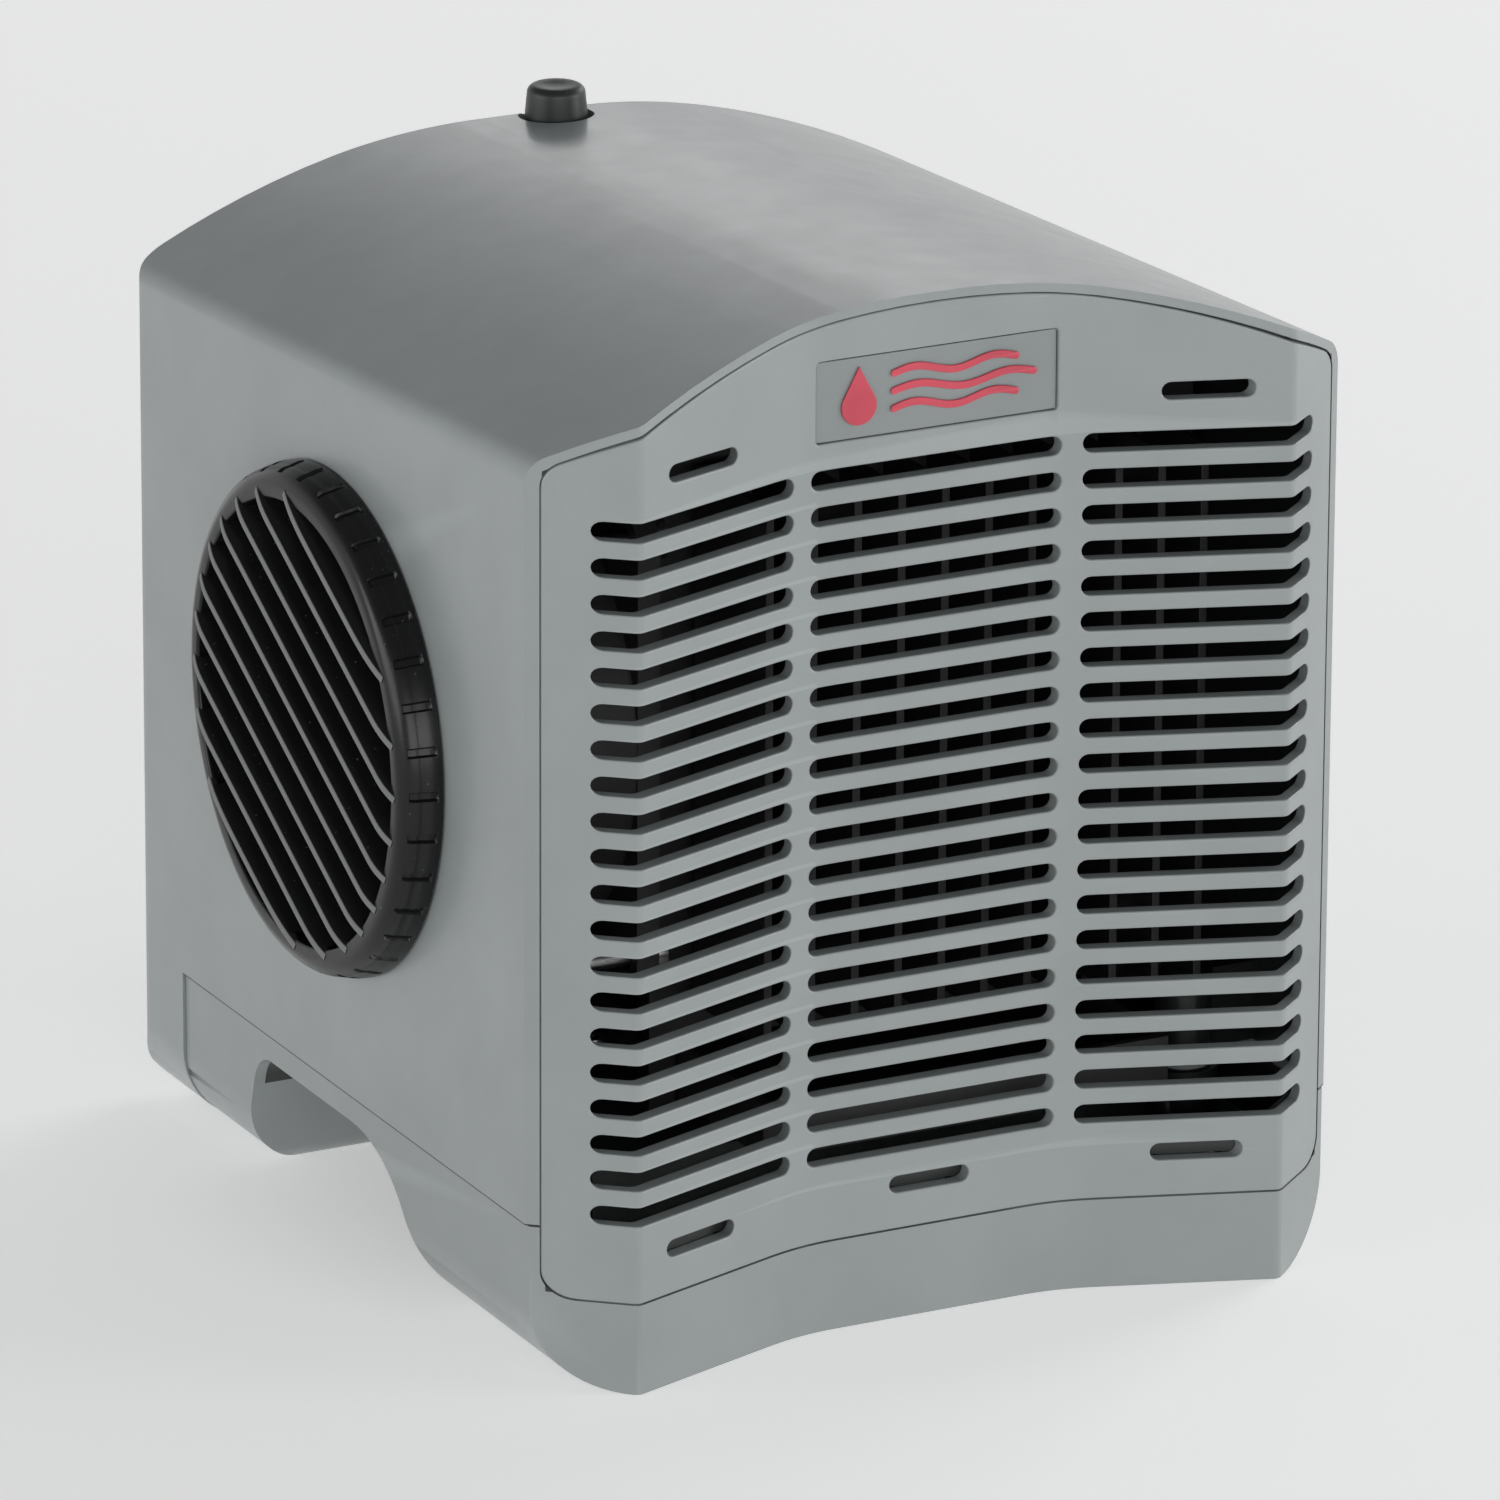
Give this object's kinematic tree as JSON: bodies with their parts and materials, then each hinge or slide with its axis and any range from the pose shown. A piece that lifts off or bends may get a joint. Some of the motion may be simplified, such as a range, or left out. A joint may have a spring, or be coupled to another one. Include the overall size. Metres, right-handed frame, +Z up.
{
  "type": "heat pump unit",
  "caption": "Compact thermoelectric heat pump unit: grey arched hood on a tunnelled base, slotted bevelled front panel, turning black side louvre and a top press button.",
  "frame": {"origin": "middle of the whole unit's box, on the surface that it stands on", "axes": "+Z up, the slotted front panel faces -Y, +X to the right of someone who looks at the front"},
  "size_m": [0.134, 0.1484, 0.1509],
  "materials": {
    "badge_plastic": "fine hammered grain",
    "base_plastic": "satin moulded, fine grain",
    "black_anodised": "black anodised",
    "black_plastic": "satin",
    "board_laminate": "solder resist",
    "body_plastic": "satin moulded, fine grain",
    "button_rubber": "satin",
    "capacitor_sleeve": "shrink sleeve",
    "ceramic": "fired alumina",
    "copper": "enamelled wire",
    "lead_sleeve": "insulated wire",
    "louvre_plastic": "gloss",
    "mark_paint": "printed relief",
    "nylon": "natural",
    "panel_plastic": "satin moulded, fine grain",
    "plain_aluminium": "milled",
    "seal_rubber": "closed cell",
    "steel": "zinc plated",
    "terminal_plastic": "moulded"
  },
  "bodies": {
    "housing": {"hood": "body_plastic", "base": "base_plastic", "front_panel": "panel_plastic", "badge_plate": "badge_plastic", "badge_mark": "mark_paint", "base_screws": "steel", "fan_frame": "black_plastic", "fan_screws": "steel", "fan_coil": "copper", "fan_bearings": "steel", "air_baffle": "black_plastic", "baffle_screws": "steel", "cold_sink": "black_anodised", "hot_sink": "black_anodised", "spacer_block": "plain_aluminium", "thermoelectric_module": "ceramic", "thermal_pads": "seal_rubber", "insulation_frame": "seal_rubber", "clamp_screws": "steel", "clamp_washers": "nylon", "drip_tray": "nylon", "drain_seal": "seal_rubber", "drain_nut": "nylon", "control_board": "board_laminate", "board_screws": "steel", "capacitors": "capacitor_sleeve", "power_inductor": "copper", "voltage_regulator": "black_plastic", "regulator_sink": "black_anodised", "terminal_block": "terminal_plastic", "module_leads": "lead_sleeve", "fan_leads": "lead_sleeve", "switch_leads": "lead_sleeve", "switch_body": "black_plastic", "button_spring": "steel", "cable_gland": "black_plastic", "gland_seal": "seal_rubber", "gland_nut": "black_plastic"},
    "louvre": {"louvre": "louvre_plastic", "louvre_clip": "black_plastic"},
    "fan_rotor": {"fan_impeller": "black_plastic", "fan_rotor_cup": "steel", "fan_shaft": "steel"},
    "button": {"button_cap": "button_rubber"}
  },
  "joints": [
    {"name": "louvre_turn", "type": "hinge", "parent": "housing", "child": "louvre", "pos_m": [-0.06, -0.00145, 0.07929], "axis": [-1, 0, 0], "continuous": true},
    {"name": "fan_spin", "type": "hinge", "parent": "housing", "child": "fan_rotor", "pos_m": [-0.0506, -0.00145, 0.07929], "axis": [-1, 0, 0], "continuous": true},
    {"name": "button_press", "type": "slide", "parent": "housing", "child": "button", "axis": [0, 0, -1], "range_m": [0, 0.0025], "stiffness_N_per_m": 400, "springref_m": -0.001, "deforming": ["button_spring"]}
  ]
}
